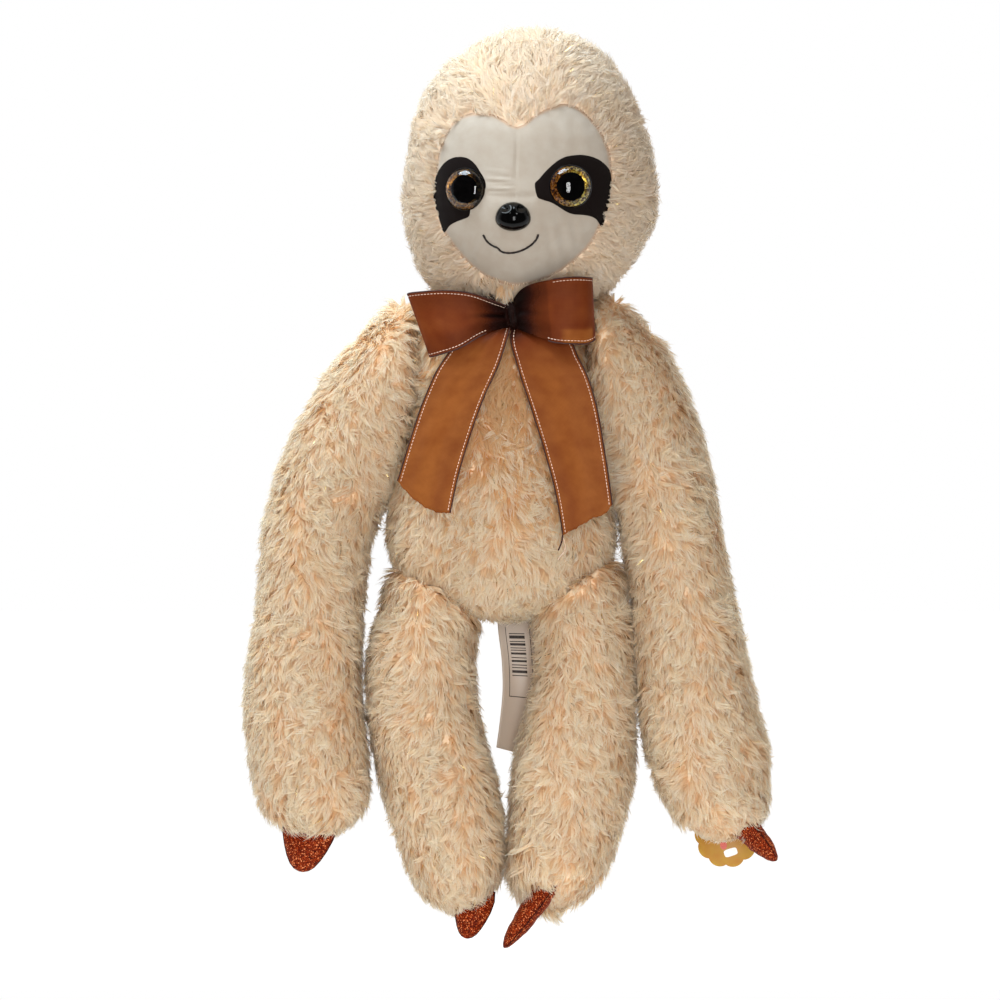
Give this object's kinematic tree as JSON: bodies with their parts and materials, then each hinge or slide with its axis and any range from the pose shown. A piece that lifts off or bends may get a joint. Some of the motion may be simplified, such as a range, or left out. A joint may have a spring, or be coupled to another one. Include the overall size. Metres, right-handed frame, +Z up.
{
  "type": "plush sloth",
  "caption": "Long-armed stuffed sloth toy with a velour face, safety eyes, padded claws on each limb and a ribbon tied in a bow at the neck.",
  "frame": {"origin": "middle of the neck, where the head meets the body, which is where the toy is held up", "axes": "+Z up along the body, -Y towards the front (the face), +X to the right of someone who faces the toy"},
  "size_m": [0.3455, 0.1636, 0.5948],
  "materials": {
    "long_pile_fur": "matte",
    "face_velour": "matte",
    "dark_velour": "matte",
    "eye_plastic": "gloss",
    "nose_plastic": "gloss",
    "washer_plastic": "satin",
    "mouth_thread": "matte",
    "glitter_cloth": "satin",
    "organza_ribbon": "satin",
    "label_satin": "satin",
    "tag_card": "satin"
  },
  "bodies": {
    "torso": {"torso": "long_pile_fur", "neck_ribbon": "organza_ribbon", "bow_knot": "organza_ribbon", "bow_loop_left": "organza_ribbon", "bow_loop_right": "organza_ribbon", "bow_tail_left": "organza_ribbon", "bow_tail_right": "organza_ribbon"},
    "head": {"head": "long_pile_fur", "face_panel": "face_velour", "eye_patch_left": "dark_velour", "eye_patch_right": "dark_velour", "eye_left": "eye_plastic", "eye_left_washer": "washer_plastic", "eye_right": "eye_plastic", "eye_right_washer": "washer_plastic", "nose": "nose_plastic", "nose_washer": "washer_plastic", "mouth_stitching": "mouth_thread"},
    "arm_left": {"arm_left": "long_pile_fur", "hand_claw_left": "glitter_cloth"},
    "arm_right": {"arm_right": "long_pile_fur", "hand_claw_right": "glitter_cloth", "tag_fastener": "washer_plastic"},
    "leg_left": {"leg_left": "long_pile_fur", "foot_claw_left": "glitter_cloth"},
    "leg_right": {"leg_right": "long_pile_fur", "foot_claw_right": "glitter_cloth"},
    "label": {"care_label": "label_satin"},
    "tag": {"swing_tag": "tag_card"}
  },
  "joints": [
    {"name": "neck_turn", "type": "hinge", "parent": "torso", "child": "head", "pos_m": [0, 0, 0.004], "axis": [0, 0, 1], "range_deg": [-30, 30], "stiffness_Nm_per_rad": 0.05},
    {"name": "shoulder_left", "type": "hinge", "parent": "torso", "child": "arm_left", "pos_m": [-0.007, 0, -0.034], "axis": [-1, 0, 0], "range_deg": [-40, 95]},
    {"name": "shoulder_right", "type": "hinge", "parent": "torso", "child": "arm_right", "pos_m": [-0.007, 0, -0.034], "axis": [-1, 0, 0], "range_deg": [-40, 95]},
    {"name": "hip_left", "type": "hinge", "parent": "torso", "child": "leg_left", "pos_m": [-0.007, 0, -0.153], "axis": [-1, 0, 0], "range_deg": [-20, 80], "deforming": ["bow_tail_left"]},
    {"name": "hip_right", "type": "hinge", "parent": "torso", "child": "leg_right", "pos_m": [-0.007, 0, -0.153], "axis": [-1, 0, 0], "range_deg": [-20, 80], "deforming": ["bow_tail_right"]},
    {"name": "label_hinge", "type": "hinge", "parent": "torso", "child": "label", "pos_m": [0.0045, 0.0265, -0.1975], "axis": [1, 0, 0], "range_deg": [-30, 40]},
    {"name": "tag_swing", "type": "hinge", "parent": "arm_right", "child": "tag", "pos_m": [0.141, 0.0345, -0.335], "axis": [1, 0, 0], "range_deg": [-8, 30]}
  ]
}
